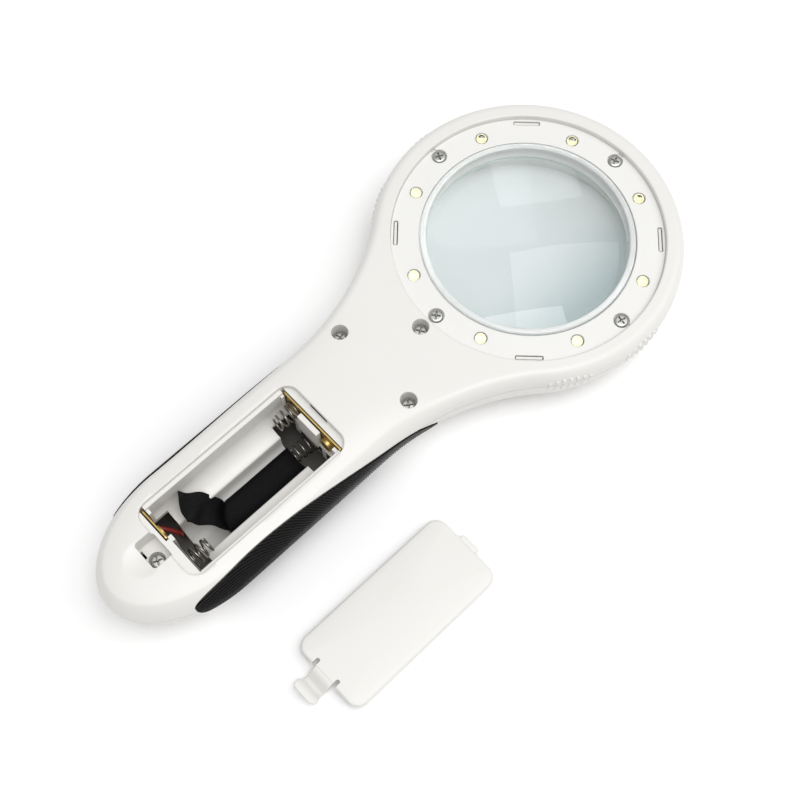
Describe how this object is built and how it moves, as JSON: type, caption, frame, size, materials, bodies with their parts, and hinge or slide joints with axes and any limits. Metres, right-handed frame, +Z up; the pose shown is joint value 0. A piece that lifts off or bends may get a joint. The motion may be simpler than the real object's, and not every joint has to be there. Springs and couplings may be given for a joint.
{
  "type": "low vision magnifier",
  "caption": "Handheld lighted magnifier with a round lens in a lamp ring, a gripped handle with an open battery bay, and its battery cover lying beside it.",
  "frame": {"origin": "middle of the footprint of the magnifier and its loose cover, on the table that the front face rests on", "axes": "+X from the butt of the handle to the head, +Z up towards the lamp side, +Y to the left seen from the butt"},
  "size_m": [0.1966, 0.1062, 0.0248],
  "materials": {
    "shell_plastic": "satin",
    "ring_plastic": "satin",
    "clear_plastic": "polished",
    "lens_glass": "polished",
    "grip_rubber": "ribbed matte",
    "screw_steel": "plated",
    "spring_steel": "plated",
    "contact_brass": "plated",
    "contact_steel": "plain",
    "board": "varnished",
    "phosphor": "matte",
    "ribbon_cloth": "woven",
    "red_wire": "plain",
    "black_wire": "plain",
    "resistor_body": "painted"
  },
  "bodies": {
    "magnifier": {"back_shell": "shell_plastic", "front_shell": "shell_plastic", "lamp_ring_plate": "ring_plastic", "ring_screws": "screw_steel", "lens": "lens_glass", "lens_retainer": "clear_plastic", "lamp_board": "board", "lamp_chips": "phosphor", "lamp_domes": "clear_plastic", "case_screws": "screw_steel", "left_grip": "grip_rubber", "right_grip": "grip_rubber", "head_contact_strip": "contact_brass", "head_spring": "spring_steel", "well_contact_plate": "contact_steel", "well_spring": "spring_steel", "butt_positive_plate": "contact_brass", "butt_contact_strip": "contact_steel", "butt_spring": "spring_steel", "pull_ribbon": "ribbon_cloth", "positive_wire": "red_wire", "negative_wire": "black_wire", "lamp_feed_wire": "red_wire", "lamp_return_wire": "black_wire", "switch_board": "board", "switch_body": "contact_steel", "board_screws": "screw_steel", "resistor": "resistor_body"},
    "knob": {"switch_knob": "shell_plastic"},
    "cover": {"battery_cover": "shell_plastic"}
  },
  "joints": [
    {"name": "switch_slide", "type": "slide", "parent": "magnifier", "child": "knob", "axis": [1, 0, 0], "range_m": [0, 0.004]},
    {"name": "cover_lift", "type": "slide", "parent": "magnifier", "child": "cover", "axis": [-0.1141, 0.6361, 0.7631], "range_m": [0, 0.07797]}
  ]
}
